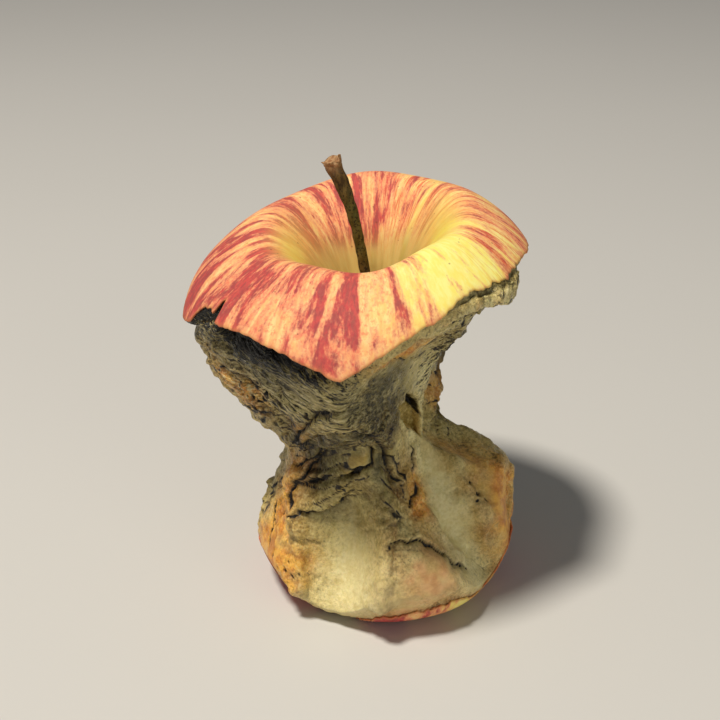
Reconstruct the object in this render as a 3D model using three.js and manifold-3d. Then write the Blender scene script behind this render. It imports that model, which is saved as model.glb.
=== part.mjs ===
// An eaten apple core: a cap of skin with the stalk cavity, a bitten waist and a skin-rimmed base,
// with its stalk standing in the cavity. Millimetres, +Z up. The origin is on the surface the core
// stands on, at the centre of its bounding box.
//
// The core is one closed surface. Every meridian runs from the floor of the stalk cavity, over the
// skin of the cap, down the bitten flesh and round the skin of the base to the calyx basin.
import * as THREE from 'three';
import { mergeVertices } from 'three/addons/utils/BufferGeometryUtils.js';
import Module from 'manifold-3d';

// ---- driving dimensions ----
const HEIGHT = 76.5;          // whole apple, from its foot to the crest of the shoulders
const RADIUS = 36.8;          // widest radius of the whole apple
const CAVITY_DEPTH = 18.6;    // stalk cavity, below the crest
const FOOT_FLAT = 0.7;        // how much of the foot is flattened where the core stands
const LEAN = -0.05;           // sideways drift of the axis for each unit of height
const LOBES = { count: 5, azimuth: 20, swell: 0.01, crest: 0.6, crestRadius: 15.5, crestWidth: 8 };
const SHOULDER = {
  rise: 6.1, riseAzimuth: 45, shift: 1.6, shiftAzimuth: 183, shiftFrom: 0.3, shiftOver: 0.5,
};

// ---- what was eaten ----
// The waist is an hourglass whose neck sits higher and thinner on one side.
const WAIST = {
  z: 36, radius: 16.9, up: 1.0, down: 0.5, round: 3,
  sideAzimuth: 0, tilt: 3.5, offset: -1.2, shelf: 0.36,
};
// The base is never wider than this barrel, which bulges a little at the back.
const BARREL = { radius: 25.9, z: 36, up: 1.6, back: 2.4 };
// Each bite is a trough. It comes within `reach` of the axis at height z, and opens by OPENING at
// `wide` radians to each side, at `high` above and at `low` below. slant opens the upper bites
// further as they rise and the lower ones as they fall, roll opens one side more than the other,
// and twist turns the trough by that many degrees for each millimetre of height.
const OPENING = 10;
const UPPER_BITES = [
  { azimuth: -130, z: 34, reach: 17.45, wide: 0.9, high: 90, low: 10, slant: 0.395, roll: 0.8 },
  { azimuth: -60, z: 37, reach: 10.8, wide: 0.73, high: 25, low: 18, slant: 0, roll: -7.3 },
  { azimuth: 7, z: 37, reach: 7.5, wide: 0.8, high: 23.2, low: 8, slant: 0, roll: 7.3 },
  { azimuth: 60, z: 39, reach: 11.7, wide: 0.535, high: 21.6, low: 14, slant: 0, roll: 1.5 },
  { azimuth: 110, z: 42.5, reach: 12.8, wide: 0.497, high: 18.1, low: 16, slant: 0, roll: -1.6 },
  { azimuth: 165, z: 36, reach: 18.2, wide: 0.66, high: 56, low: 10, slant: 0.44, roll: 0 },
];
const LOWER_BITES = [
  { azimuth: -112, z: 22, reach: 14.2, wide: 0.45, high: 16, low: 25, slant: 0.2, twist: 0.4 },
  { azimuth: -50, z: 24, reach: 14.8, wide: 0.42, high: 16, low: 25, slant: 0.2, twist: -1.2 },
  { azimuth: -162, z: 30, reach: 20.7, wide: 0.7, high: 20, low: 60, slant: 0.39, twist: 0 },
  { azimuth: -17, z: 24, reach: 23.8, wide: 0.7, high: 14, low: 60, slant: 0.16, twist: 0 },
  { azimuth: 45, z: 29.6, reach: 12.4, wide: 0.5, high: 9, low: 28, slant: 0.3, twist: 0 },
  { azimuth: 98, z: 27, reach: 15.5, wide: 0.5, high: 18, low: 28, slant: 0.3, twist: 0 },
  { azimuth: 148, z: 28, reach: 16, wide: 0.5, high: 18, low: 28, slant: 0.3, twist: 0 },
];
const BLEND = 0.9;            // how softly neighbouring bites run into each other
// Flesh left standing proud under one corner of the cap.
const FLANK = { azimuth: -168, z: 48.7, wide: 0.375, high: 12, out: 1.8 };

// ---- the stalk ----
// It runs along a curve from its foot. swellFrom and footLength are shares of its length.
const STALK = {
  path: [[0, 0, 51], [0, 0, 58], [-0.8, -0.5, 68], [-2.4, -1, 79], [-5.4, -1.2, 88.6]],
  radius: 0.92, swell: 0.75, swellFrom: 0.55, footSwell: 0.3, footLength: 0.3,
  sides: 12, rings: 26, ridges: 3, ridge: 0.07, tipCone: 0.4,
};
const GAP = 0.3;              // clearance between the stalk and its socket

// ---- mesh density ----
const COLUMNS = 88;
const CAP_ROWS = 16;
const FLESH_ROWS = 20;
const BASE_ROWS = 12;
const FINE_STEPS = 600;       // samples along one meridian of the whole apple
const FLESH_STEPS = 200;      // samples down the flesh of one meridian
const BITTEN = [0.28, 0.9];   // bites meet a meridian only between these shares of its samples

const radians = (degrees) => THREE.MathUtils.degToRad(degrees);
const clamp = THREE.MathUtils.clamp;

// The whole apple's meridian as (radius, height), from the cavity floor to the calyx basin.
function wholeMeridian() {
  const h = HEIGHT;
  const outline = [
    [0, h - CAVITY_DEPTH], [3, h - 17.8], [6.5, h - 13.5], [11, h - 5.5], [17.5, h], [24.4, h - 2.4],
    [31.2, h - 9], [35.4, h - 19], [RADIUS, h - 30], [35, 38], [31, 27], [27.8, 17], [25.6, 10],
    [22, 3.6], [15.5, 0], [8, 2.5], [3, 5.5], [0, 6],
  ];
  const curve = new THREE.SplineCurve(outline.map(([r, z]) => new THREE.Vector2(r, z)));
  return curve.getPoints(FINE_STEPS);
}

// One meridian with its lobes, its lopsided shoulders and its flattened foot.
function appleMeridian(whole, theta) {
  const lobe = Math.cos(LOBES.count * (theta - radians(LOBES.azimuth)));
  const riseSide = Math.cos(theta - radians(SHOULDER.riseAzimuth));
  const shiftSide = Math.cos(theta - radians(SHOULDER.shiftAzimuth));
  return whole.map(({ x, y }) => {
    const out = clamp(x / RADIUS, 0, 1);
    const up = clamp(y / HEIGHT, 0, 1) ** 2;
    const high = clamp((y / HEIGHT - SHOULDER.shiftFrom) / SHOULDER.shiftOver, 0, 1);
    const r = x * (1 + LOBES.swell * lobe * out) + SHOULDER.shift * out * high * shiftSide;
    const crest = Math.exp(-(((r - LOBES.crestRadius) / LOBES.crestWidth) ** 2));
    const rise = LOBES.crest * lobe * crest + SHOULDER.rise * (r / RADIUS) * riseSide;
    return new THREE.Vector2(r, Math.max(y + rise * up, FOOT_FLAT));
  });
}

// The smallest signed turn from one azimuth, in degrees, to a direction in radians.
function turnFrom(azimuth, theta) {
  const turn = theta - radians(azimuth);
  return Math.atan2(Math.sin(turn), Math.cos(turn));
}

// Distance from the axis to the floor of a bite.
function biteRadius({ azimuth, z: middle, reach, wide, high, low, roll = 0, twist = 0 }, slope, theta, z) {
  const rise = z - middle;
  const turn = turnFrom(azimuth + twist * rise, theta);
  const up = Math.max(rise, 0) / high;
  const down = Math.max(-rise, 0) / low;
  return reach + slope + roll * turn + OPENING * ((turn / wide) ** 2 + up ** 2 + down ** 2);
}

// The hourglass of the waist: a rounded cone above the neck and another below it.
function waistRadius(theta, z) {
  const side = Math.cos(theta - radians(WAIST.sideAzimuth));
  const neck = WAIST.z + WAIST.tilt * side;
  const up = Math.max(z - neck, 0) * WAIST.up;
  const down = Math.max(neck - z, 0) * (WAIST.down + WAIST.shelf * Math.max(side, 0) ** 2);
  const flare = Math.hypot(up, WAIST.round) + Math.hypot(down, WAIST.round) - 2 * WAIST.round;
  return WAIST.radius + WAIST.offset * side + flare;
}

// The flesh left over: the smallest of the waist, the barrel and every bite, softly blended.
function fleshRadius(theta, z) {
  const bulge = BARREL.back * Math.max(Math.sin(theta), 0) ** 2;
  const barrel = BARREL.radius + bulge + Math.max(z - BARREL.z, 0) * BARREL.up;
  const rising = (bite) => bite.slant * Math.max(z - bite.z, 0);
  const falling = (bite) => bite.slant * Math.max(bite.z - z, 0);
  const limits = [
    waistRadius(theta, z),
    barrel,
    ...UPPER_BITES.map((bite) => biteRadius(bite, rising(bite), theta, z)),
    ...LOWER_BITES.map((bite) => biteRadius(bite, falling(bite), theta, z)),
  ];
  const least = Math.min(...limits);
  const sum = limits.reduce((total, r) => total + Math.exp(-(r - least) / BLEND), 0);
  const across = turnFrom(FLANK.azimuth, theta) / FLANK.wide;
  const above = (z - FLANK.z) / FLANK.high;
  return least - BLEND * Math.log(sum) + FLANK.out * Math.exp(-(across ** 2) - above ** 2);
}

// Points evenly spaced along a polyline, with both of its ends.
function spaced(points, count) {
  const run = [0];
  for (let i = 1; i < points.length; i += 1) run.push(run[i - 1] + points[i].distanceTo(points[i - 1]));
  const result = [];
  let k = 1;
  for (let i = 0; i < count; i += 1) {
    const goal = (run[run.length - 1] * i) / (count - 1);
    while (k < points.length - 1 && run[k] < goal) k += 1;
    const share = (goal - run[k - 1]) / Math.max(run[k] - run[k - 1], 1e-9);
    result.push(points[k - 1].clone().lerp(points[k], clamp(share, 0, 1)));
  }
  return result;
}

// One meridian of the core: skin down to the upper bite edge, flesh, then skin from the lower edge.
function coreMeridian(whole, theta) {
  const skin = appleMeridian(whole, theta);
  const bitten = (p) => fleshRadius(theta, p.y) < p.x;
  let [upper, lower] = BITTEN.map((share) => Math.floor(skin.length * share));
  while (!bitten(skin[upper])) upper += 1;
  while (!bitten(skin[lower])) lower -= 1;
  const top = skin.slice(0, upper);
  const base = skin.slice(lower + 1);
  const start = top[top.length - 1];
  const end = base[0];
  const flesh = [start];
  for (let i = 1; i < FLESH_STEPS; i += 1) {
    const z = start.y + ((end.y - start.y) * i) / FLESH_STEPS;
    flesh.push(new THREE.Vector2(fleshRadius(theta, z), z));
  }
  flesh.push(end);
  return [
    ...spaced(top, CAP_ROWS),
    ...spaced(flesh, FLESH_ROWS + 2).slice(1, -1),
    ...spaced(base, BASE_ROWS),
  ];
}

// Joins rings of points into one closed surface, with a fan at each end.
// Rings run anticlockwise seen from above and follow each other downwards.
function closedSurface(rings, firstPole, lastPole) {
  const positions = [];
  const faces = [];
  const sides = rings[0].length;
  for (const ring of rings) for (const p of ring) positions.push(p.x, p.y, p.z);
  for (let i = 0; i + 1 < rings.length; i += 1) {
    for (let j = 0; j < sides; j += 1) {
      const a = i * sides + j;
      const b = i * sides + ((j + 1) % sides);
      faces.push(a, a + sides, b, b, a + sides, b + sides);
    }
  }
  const first = rings.length * sides;
  const lastRing = (rings.length - 1) * sides;
  positions.push(firstPole.x, firstPole.y, firstPole.z, lastPole.x, lastPole.y, lastPole.z);
  for (let j = 0; j < sides; j += 1) {
    const next = (j + 1) % sides;
    faces.push(first, j, next, first + 1, lastRing + next, lastRing + j);
  }
  const geometry = new THREE.BufferGeometry();
  geometry.setAttribute('position', new THREE.Float32BufferAttribute(positions, 3));
  geometry.setIndex(faces);
  return geometry;
}

// The core as a closed surface, its axis drifting sideways by LEAN.
function coreGeometry() {
  const whole = wholeMeridian();
  const columns = [];
  for (let j = 0; j < COLUMNS; j += 1) {
    const theta = (2 * Math.PI * j) / COLUMNS;
    const meridian = coreMeridian(whole, theta);
    columns.push(meridian.map(({ x: r, y: z }) => new THREE.Vector3(
      r * Math.cos(theta) + LEAN * z, r * Math.sin(theta), z,
    )));
  }
  const rowCount = columns[0].length;
  const rings = [];
  for (let i = 1; i + 1 < rowCount; i += 1) rings.push(columns.map((column) => column[i]));
  return closedSurface(rings, columns[0][0], columns[0][rowCount - 1]);
}

// The stalk: a ridged tube along a curve, swollen at its foot and at its torn tip.
// With extra above 0 it is the socket instead.
function stalkGeometry(extra) {
  const leaning = STALK.path.map(([x, y, z]) => new THREE.Vector3(x + LEAN * z, y, z));
  const curve = new THREE.CatmullRomCurve3(leaning);
  const { normals, binormals } = curve.computeFrenetFrames(STALK.rings, false);
  const rings = [];
  const middles = [];
  for (let i = STALK.rings; i >= 0; i -= 1) {
    const t = i / STALK.rings;
    const middle = curve.getPointAt(t);
    const tipSwell = STALK.swell * Math.max((t - STALK.swellFrom) / (1 - STALK.swellFrom), 0) ** 2;
    const footSwell = STALK.footSwell * Math.max(1 - t / STALK.footLength, 0);
    middles.push(middle);
    rings.push(Array.from({ length: STALK.sides }, (_, j) => {
      const turn = (2 * Math.PI * j) / STALK.sides;
      const ridge = 1 + STALK.ridge * Math.cos(STALK.ridges * turn);
      const r = (STALK.radius + tipSwell + footSwell) * ridge + extra;
      return middle.clone()
        .addScaledVector(normals[i], r * Math.cos(turn))
        .addScaledVector(binormals[i], r * Math.sin(turn));
    }));
  }
  const along = middles[0].clone().sub(middles[1]).normalize();
  const foot = middles[middles.length - 1].clone();
  foot.z -= extra;
  const tip = middles[0].clone().addScaledVector(along, STALK.tipCone);
  rings[rings.length - 1].forEach((p) => { p.z -= extra; });
  return closedSurface(rings, tip, foot);
}

// ---- joining and cutting ----
const wasm = await Module();
wasm.setup();

function toSolid(geometry) {
  const merged = mergeVertices(geometry);
  return new wasm.Manifold(new wasm.Mesh({
    numProp: 3,
    vertProperties: new Float32Array(merged.attributes.position.array),
    triVerts: new Uint32Array(merged.index.array),
  }));
}

function toGeometry(solid) {
  const mesh = solid.getMesh();
  const geometry = new THREE.BufferGeometry();
  geometry.setAttribute('position', new THREE.BufferAttribute(mesh.vertProperties, 3));
  geometry.setIndex(new THREE.BufferAttribute(mesh.triVerts, 1));
  return geometry;
}

const core = toGeometry(toSolid(coreGeometry()).subtract(toSolid(stalkGeometry(GAP))));
const stalk = stalkGeometry(0);

// ---- the model ----
const fleshAndSkin = new THREE.MeshStandardMaterial({ color: 0xc9a25c, roughness: 0.55, metalness: 0 });
const stalkWood = new THREE.MeshStandardMaterial({ color: 0x5f4a28, roughness: 0.85, metalness: 0 });

function part(name, geometry, material) {
  geometry.computeVertexNormals();
  const mesh = new THREE.Mesh(geometry, material);
  mesh.name = name;
  return mesh;
}

// The finished group stands on Z = 0 with its bounding box centred on the axis.
const standing = new THREE.Group();
standing.add(part('core', core, fleshAndSkin), part('stalk', stalk, stalkWood));
const box = new THREE.Box3().setFromObject(standing);
standing.position.set(-(box.min.x + box.max.x) / 2, -(box.min.y + box.max.y) / 2, -box.min.z);

const model = new THREE.Group();
model.add(standing);
export default model;
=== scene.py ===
"""The looks of an eaten apple core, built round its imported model.

The flesh is one closed body whose torn surface is worked out from the same bites as the CAD solid,
with lumps, facets, strokes, cracks and pits added in code. The skin of the cap and of the base are
two thin shells with torn edges. The stalk and the dried calyx are pieces of their own.
Shapes are worked out in millimetres in the apple's own frame, then placed in the CAD frame in metres.
"""

import math

import bpy
import numpy as np
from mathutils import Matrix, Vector


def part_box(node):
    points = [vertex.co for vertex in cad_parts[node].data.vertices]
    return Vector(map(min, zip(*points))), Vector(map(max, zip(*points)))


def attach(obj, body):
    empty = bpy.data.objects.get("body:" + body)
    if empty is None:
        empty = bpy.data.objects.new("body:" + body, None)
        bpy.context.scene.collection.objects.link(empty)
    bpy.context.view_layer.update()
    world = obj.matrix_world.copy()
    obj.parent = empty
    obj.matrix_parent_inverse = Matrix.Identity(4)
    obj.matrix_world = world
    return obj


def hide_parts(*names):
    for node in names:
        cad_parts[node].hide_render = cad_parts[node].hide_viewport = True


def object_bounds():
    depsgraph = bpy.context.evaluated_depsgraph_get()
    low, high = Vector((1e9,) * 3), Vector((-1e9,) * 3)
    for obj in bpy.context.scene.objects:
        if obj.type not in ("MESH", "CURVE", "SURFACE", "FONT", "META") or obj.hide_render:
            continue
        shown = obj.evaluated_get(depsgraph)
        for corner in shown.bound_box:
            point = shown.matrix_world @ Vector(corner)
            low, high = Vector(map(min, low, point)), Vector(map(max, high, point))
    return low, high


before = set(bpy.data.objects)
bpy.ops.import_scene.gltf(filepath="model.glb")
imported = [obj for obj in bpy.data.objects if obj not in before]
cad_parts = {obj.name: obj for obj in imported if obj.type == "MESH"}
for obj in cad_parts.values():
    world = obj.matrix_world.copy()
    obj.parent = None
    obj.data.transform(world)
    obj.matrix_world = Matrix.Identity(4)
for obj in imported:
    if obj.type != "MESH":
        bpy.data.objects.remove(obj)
cad_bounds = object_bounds()

MM = 0.001

# ---- the whole apple, in millimetres, as in the CAD source ----
HEIGHT = 76.5
RADIUS = 36.8
CAVITY_DEPTH = 18.6
FOOT_FLAT = 0.7
LEAN = -0.05
LOBE_AZIMUTH = 20
LOBE_SWELL = 0.01
LOBE_CREST = 0.6
SHOULDER_RISE = 6.1
SHOULDER_AZIMUTH = 45
SHOULDER_SHIFT = 1.6
SHIFT_AZIMUTH = 183

# ---- what was eaten, as in the CAD source ----
WAIST = dict(z=36, radius=16.9, down=0.5, round=3, tilt=3.5, offset=-1.2, shelf=0.36)
BARREL = dict(radius=25.9, z=36, up=1.6, back=2.4)
OPENING = 10
UPPER_BITES = [
    dict(azimuth=-130, z=34, reach=17.45, wide=0.9, high=90, low=10, slant=0.395, roll=0.8),
    dict(azimuth=-60, z=37, reach=10.8, wide=0.73, high=25, low=18, roll=-7.3),
    dict(azimuth=7, z=37, reach=7.5, wide=0.8, high=23.2, low=8, roll=7.3),
    dict(azimuth=60, z=39, reach=11.7, wide=0.535, high=21.6, low=14, roll=1.5),
    dict(azimuth=110, z=42.5, reach=12.8, wide=0.497, high=18.1, low=16, roll=-1.6),
    dict(azimuth=165, z=36, reach=18.2, wide=0.66, high=56, low=10, slant=0.44),
]
LOWER_BITES = [
    dict(azimuth=-112, z=22, reach=14.2, wide=0.45, high=16, low=25, slant=0.2, twist=0.4),
    dict(azimuth=-50, z=24, reach=14.8, wide=0.42, high=16, low=25, slant=0.2, twist=-1.2),
    dict(azimuth=-162, z=30, reach=20.7, wide=0.7, high=20, low=60, slant=0.39),
    dict(azimuth=-17, z=24, reach=23.8, wide=0.7, high=14, low=60, slant=0.16),
    dict(azimuth=45, z=29.6, reach=12.4, wide=0.5, high=9, low=28, slant=0.3),
    dict(azimuth=98, z=27, reach=15.5, wide=0.5, high=18, low=28, slant=0.3),
    dict(azimuth=148, z=28, reach=16, wide=0.5, high=18, low=28, slant=0.3),
]
BLEND = 0.9
FLANK = dict(azimuth=-168, z=48.7, wide=0.375, high=12, out=1.8)

STALK_PATH = [(0, 0, 51), (0, 0, 58), (-0.8, -0.5, 68), (-2.4, -1, 79), (-5.4, -1.2, 88.6)]
STALK_RADIUS = 0.92
STALK_TIP_SWELL = 0.75
STALK_SWELL_FROM = 0.55
STALK_FOOT_SWELL = 0.3
STALK_FOOT_LENGTH = 0.3
STALK_END = [(0.8, -0.15), (0.55, -0.45), (0.25, -0.55), (0.0, -0.4)]    # closing rings: scale, way out

SEPALS = 5
SEPAL_TOP = 5.5
SEPAL_DROP = 3.4
SEPAL_THICKNESS = 0.25

# ---- camera, in millimetres and degrees ----
CAMERA_TARGET = (0, 0, 43)    # in the apple's own frame
CAMERA_DISTANCE = 258
CAMERA_ELEVATION = 28
CAMERA_FIELD = 30
CAMERA_SHIFT = (-0.0383, 0.0361)
SENSOR = 36
NEAREST = 0.01                # metres

# ---- light and floor, in metres and watts: direction, distance, size, power and colour ----
LIGHTS = dict(
    key=((0.27, 0.22, -0.94), 1.0, 0.16, 10.5, (1.0, 0.94, 0.84)),
    fill=((-0.6, 0.75, -0.3), 0.9, 0.6, 1.0, (0.95, 1.0, 0.88)),
)
WORLD_COLOUR = (0.9, 0.93, 1.0, 1)
WORLD_STRENGTH = 0.11
FLOOR_HALF = 4.0

# ---- mesh density ----
COLUMNS = 480
FINE_STEPS = 900              # samples along one meridian of the whole apple
FLESH_ROWS = 192
BAND_STEPS = 50               # samples of the flesh under each skin, with eight times as many between
HIDDEN_ROWS = 5               # coarse rows of flesh under each skin
SKIN_ROWS = 120
LINING_ROWS = 9               # rows on the inside of each skin
BASE_SKIN_ROWS = 60
STALK_SIDES = 56
STALK_RINGS = 190
SEPAL_ROWS = 13
SEPAL_COLUMNS = 7

# ---- skin ----
SKIN = 0.38                   # thickness
LIP = 0.3                     # how far skin reaches past the flesh at a bite
EDGE_ROUND = 0.12             # how far its middle stands out at the torn edge
CAP_TUCK = 5                  # how far fine flesh runs on under the skin of the cap
BASE_TUCK = 7.5               # and under the skin of the base
SHOW_DEPTH = 1.6              # how far from the edge of the skin the flesh may first stand out
CAVITY = (14.5, 7)            # radii where the floor's colour starts and is full in the stalk cavity
CAVITY_PINCH = 3.5            # how much smaller the first is at the back
BASIN = (14, 8)               # the same radii under the core
LIP_RADIUS = 13.5             # of the green lips of the stalk cavity
LIP_WIDTH = 3.6
# Places along an edge where skin is torn back: azimuth, half width in degrees, depth.
CAP_TEARS = [
    (-157, 5.5, 2.9), (-150.5, 1.5, 4.4), (-34, 25, 2.0), (35, 9, 1.2), (118, 12, 1.4), (160, 5, 1.8),
]
BASE_TEARS = [(-118, 44, 6.4), (-52, 26, 3.4), (-12, 8, 1.0), (70, 8, 1.5), (150, 10, 1.3)]
CAP_SEED = 201
BASE_SEED = 221
# How red the skin is from 0 to 1, and where it is redder or less so: azimuth, half width, by how much.
BLUSH_OF_CAP = 0.42
BLUSH_OF_BASE = 0.67
BLUSH = [(-150, 50, 0.38), (-100, 22, 0.26), (-45, 26, -0.42), (4, 24, 0.16), (110, 50, 0.3)]

# ---- marks on the flesh: azimuth in degrees and height in millimetres ----
# A crack is a groove. What lies to the right of its path, seen from outside, sinks by `rise`
# and the other side stands proud by as much. `broken` is how much its width varies, and `spread`
# is how far from it the rise reaches.
# Each groove is painted dark as shade, and its sunk side gets painted shade.
CRACKS = [
    dict(path=[(-166, 31), (-130, 40), (-112, 45.5), (-100, 48), (-93, 45.5), (-84, 38), (-78, 33),
               (-72, 27)], width=0.38, depth=1.3, rise=0.8, broken=0.25, spread=4.5),
    dict(path=[(-98, 53.5), (-110, 51), (-124, 44.5), (-142, 38)], width=0.4, depth=1.1, rise=0.6),
    dict(path=[(-150, 31), (-128, 36.5), (-114, 41), (-106, 43)], width=0.4, depth=1.1, rise=0.7),
    dict(path=[(-60, 62.5), (-44, 61), (-34, 62)], width=0.3, depth=0.7, rise=0.3),
    dict(path=[(-150, 24), (-152, 18), (-149, 11)], width=0.3, depth=0.7, rise=0.3),
    dict(path=[(-88, 20), (-84, 22), (-76, 21.6), (-68, 20.2), (-58, 17), (-46, 12.4), (-41, 10)],
         width=0.3, depth=1.1, rise=0.7, broken=0.3, spread=1.2),
    dict(path=[(-141, 21), (-138, 24), (-128, 23.3), (-120, 24.3), (-113, 27.5)],
         width=0.5, depth=1.4, rise=0.9),
    dict(path=[(-146, 27.4), (-127, 31.2), (-112, 32.2), (-104, 33.4)],
         width=0.45, depth=1.3, rise=0.8),
    dict(path=[(-144, 22), (-146, 27), (-140, 32), (-123, 37), (-110, 39.5)],
         width=0.4, depth=1.0, rise=0.7),
    dict(path=[(-54, 35), (-60, 31), (-62, 27), (-72, 25.5)], width=0.3, depth=0.8, rise=0.4),
    dict(path=[(-18, 38), (-24, 35), (-22, 31)], width=0.4, depth=1.0, rise=0.0),
    dict(path=[(-162, 21), (-156, 13)], width=0.3, depth=0.6, rise=0.0),
    dict(path=[(-80, 61), (-72, 58), (-60, 56)], width=0.35, depth=0.7, rise=0.2),
    dict(path=[(20, 33), (34, 37), (55, 39), (70, 36)], width=0.5, depth=1.3, rise=0.9),
    dict(path=[(78, 30), (92, 27), (108, 29), (124, 24)], width=0.5, depth=1.3, rise=0.8),
    dict(path=[(96, 52), (112, 55), (132, 51), (145, 45)], width=0.5, depth=1.2, rise=0.7),
    dict(path=[(150, 40), (164, 35), (172, 27), (178, 20)], width=0.5, depth=1.4, rise=0.7),
    dict(path=[(40, 14), (58, 18), (74, 15)], width=0.4, depth=0.9, rise=0.6),
]
# Ridges left standing between the scoops of the base.
RIDGES = [
    dict(path=[(-86, 33), (-85, 24), (-90, 14), (-92, 6)], width=1.7, depth=-1.6),
    dict(path=[(-141, 25), (-136, 15), (-133, 6)], width=1.6, depth=-1.8),
    dict(path=[(-22, 32), (-26, 22), (-23, 9)], width=1.5, depth=-1.3),
    dict(path=[(-62, 31), (-58, 23), (-49, 16), (-40, 11)], width=1.4, depth=-1.0),
    dict(path=[(74, 32), (78, 20), (76, 8)], width=2.2, depth=-0.8),
    dict(path=[(126, 34), (122, 22), (126, 10)], width=2.2, depth=-0.8),
]
# Patches of the flesh: azimuth, height, half widths in degrees and millimetres.
CLEAN = [
    (-108, 12, 21, 12), (-40, 19, 13, 15), (-85, 54, 26, 6), (-68, 14, 15, 6), (30, 52, 22, 9),
    (98, 14, 16, 9), (-14, 20, 10, 10), (-152, 12, 13, 8), (-84, 9, 16, 6), (-36, 30, 10, 8),
]
OCHRE = [
    (-154, 16, 15, 13), (-142, 12, 10, 7), (-150, 27, 11, 6), (-155, 49, 10, 6), (-127, 43.5, 8, 2.5),
    (-74, 61.5, 14, 1.3), (-8, 18, 14, 12), (-16, 17, 9, 5), (-62, 27, 9, 5), (52, 26, 14, 7),
    (128, 33, 16, 7), (172, 50, 10, 6), (92, 50, 12, 5),
]
BROWN = [
    (-76, 31, 7, 5), (-88, 48, 16, 2.0), (-100, 43, 14, 3), (70, 38, 12, 5), (150, 42, 10, 5),
    (-85, 22, 3.5, 8), (-90, 9, 3.5, 5), (-24, 20, 3, 8), (-82, 42.5, 10, 3),
]
PINK = [
    (-78, 5.5, 14, 3), (-70, 14, 15, 6), (-164, 8, 12, 5), (-140, 33, 8, 3), (20, 12, 14, 5),
    (120, 14, 16, 5),
]
# Pale flesh; the first three brighten the lumps as a painted pool of light.
PALE_AND_PAINTED_LIGHT = [
    (-154, 49, 8, 5), (-150, 27.5, 9, 5), (-127, 43, 9, 3), (-108, 11, 22, 10), (-42, 21, 14, 14),
    (-38, 12, 10, 8), (-54, 33, 12, 10), (-48, 48, 12, 7), (98, 14, 18, 9), (40, 56, 20, 7),
    (-146, 55, 10, 4),
]
PAINTED_SHADE_AND_WET = [                      # painted shade, where the flesh is also wet
    (-86, 54, 17, 6.5), (-86, 49.5, 16, 4), (-122, 40, 24, 6), (-112, 43, 16, 3), (-86, 40, 6, 4),
    (-90, 33, 4, 4), (-132, 34, 10, 4), (-134, 60, 30, 7), (-22, 60, 22, 4), (-96, 45, 12, 3),
    (-80, 45.5, 9, 3.5), (-88, 36, 9, 2.5), (110, 50, 26, 6), (35, 46, 18, 5),
]
# Darker olive, painted as shade under the cap and its ledges.
OLIVE_SHADE = [
    (-80, 53, 26, 8), (-20, 52, 18, 9), (-124, 35, 24, 8), (-130, 58, 26, 7), (100, 46, 34, 9),
    (172, 42, 16, 10), (40, 34, 22, 6),
]
# Clusters of small dark holes: azimuth, height, radius of the cluster.
PIT_CLUSTERS = [
    (-20, 24.5, 1.7), (-25, 21, 1.7), (-153, 48, 3.2), (-158, 15, 2.5), (-138, 13, 2.0),
    (-128, 52, 3.5), (0, 12, 2.0), (60, 24, 3.0), (132, 36, 3.0), (170, 30, 3.0), (-34, 38, 2.5),
]
# Lumps that stand out: azimuth, height, half widths, and how far.
LUMPS = [(-150, 27.5, 8, 4.0, 1.5), (-154, 49, 7, 4.5, 0.9), (-127, 43, 8, 2.6, 0.8)]
# The opened seed chamber and the horny patch of its lining beside it.
CHAMBER = dict(azimuth=-56, z=42.4, wide=2.3, high=6.6, depth=2.0, lean=-0.5)
CARPEL = dict(azimuth=-103, z=36.2, wide=2.2, high=2.8, out=0.35, lean=0.45)
# Where teeth dragged through the flesh: the patch, the slope of the grooves in degrees, their depth.
STROKES = [
    dict(at=(-140, 54, 38, 16), slope=-36, depth=0.85),
    dict(at=(-92, 51, 26, 9), slope=4, depth=0.6),
    dict(at=(-128, 33, 24, 9), slope=24, depth=0.6),
    dict(at=(-108, 14, 22, 14), slope=84, depth=0.16),
    dict(at=(-40, 22, 18, 18), slope=74, depth=0.22),
    dict(at=(-24, 58, 30, 12), slope=28, depth=0.6),
    dict(at=(52, 52, 46, 18), slope=40, depth=0.55),
    dict(at=(135, 50, 44, 18), slope=-34, depth=0.6),
    dict(at=(90, 20, 60, 14), slope=80, depth=0.25),
]
# Where the flesh tore into ledges that overlap like scales: the patch, their slope, size and depth.
SHINGLES = [
    dict(at=(-122, 34, 27, 9), slope=22, size=2.3, depth=1.0, stretch=5.5),
    dict(at=(-148, 46, 20, 12), slope=-36, size=2.2, depth=0.55, stretch=6),
    dict(at=(-80, 31, 9, 6), slope=-48, size=2.4, depth=0.6, stretch=3),
    dict(at=(30, 40, 34, 12), slope=14, size=3.8, depth=1.0),
    dict(at=(118, 42, 38, 14), slope=-24, size=3.8, depth=1.2),
    dict(at=(172, 24, 20, 14), slope=30, size=3.6, depth=1.0),
    dict(at=(-42, 59, 20, 5), slope=26, size=2.0, depth=0.7, stretch=6),
    dict(at=(-96, 43.5, 16, 3.5), slope=8, size=1.9, depth=0.7, stretch=4),
]
UNROLL_RADIUS = 18            # radius at which the flesh is unrolled to lay out strokes and ledges
# Where the flesh is drawn out by teeth, with its grooves painted dark as shade and its crests pale as
# highlights: the patch, and the slope of the grain.
DRAWN = dict(
    left=((-136, 54, 36, 17), -128, -36),
    right=((-28, 57, 34, 14), -30, 28),
    front=((-92, 50, 22, 10), -92, 4),
)
DRAWN_STRETCH = 5
STROKE_STRETCH = 7


# ---- noise ----
def random_at(cells, seed):
    """A repeatable random number from 0 to 1 for each cell of whole numbers."""
    key = cells[..., 0] * 374761393 + cells[..., 1] * 668265263 + cells[..., 2] * 1103515245
    key = (key + seed * 1013904223) & 0xFFFFFFFF
    for shift, factor in ((13, 1274126177), (16, 1911520717)):
        key = ((key ^ (key >> shift)) * factor) & 0xFFFFFFFF
    return (key ^ (key >> 15)) / 2**32


def random_vector(cells, seed, count=3):
    """Several random numbers for each cell."""
    return np.stack([random_at(cells, seed + k) for k in range(count)], -1)


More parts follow.
